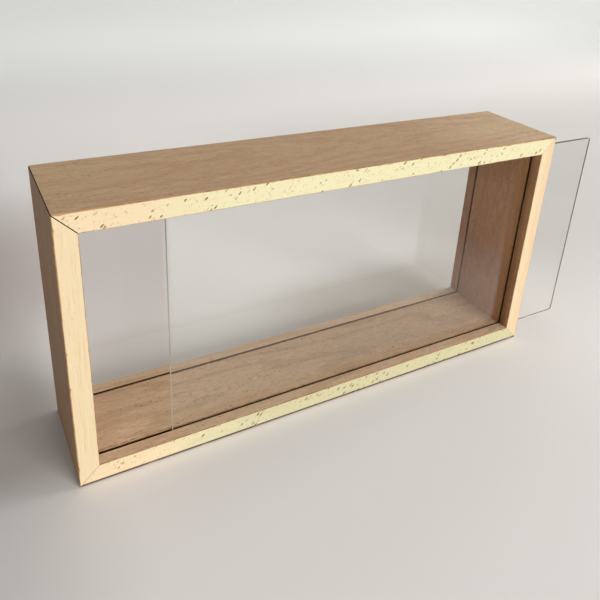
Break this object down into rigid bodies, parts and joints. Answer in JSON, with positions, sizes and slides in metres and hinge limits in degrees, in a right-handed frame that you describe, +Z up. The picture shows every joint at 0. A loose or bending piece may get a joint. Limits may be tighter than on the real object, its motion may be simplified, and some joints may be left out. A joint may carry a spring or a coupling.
{
  "type": "butterfly display case",
  "caption": "Standing box frame of mitred wooden boards, open at front and back, with a clear pane in each opening that slides out through a slot in the right side.",
  "frame": {"origin": "centre of the underside of the wooden case, on the surface that it stands on", "axes": "+X to the right as the front is faced, the way both panes slide out; -Y out of the front opening; +Z up"},
  "size_m": [0.343, 0.062, 0.15],
  "materials": {
    "beech": "matte",
    "spline_wood": "matte",
    "clear_sheet": "polished"
  },
  "bodies": {
    "case": {"top_board": "beech", "bottom_board": "beech", "left_board": "beech", "right_board": "beech", "top_left_spline": "spline_wood", "top_right_spline": "spline_wood", "bottom_left_spline": "spline_wood", "bottom_right_spline": "spline_wood"},
    "front_pane": {"front_pane": "clear_sheet"},
    "back_pane": {"back_pane": "clear_sheet"}
  },
  "joints": [
    {"name": "front_pane_slide", "type": "slide", "parent": "case", "child": "front_pane", "axis": [1, 0, 0], "range_m": [-0.043, 0.239]},
    {"name": "back_pane_slide", "type": "slide", "parent": "case", "child": "back_pane", "axis": [1, 0, 0], "range_m": [0, 0.282]}
  ]
}
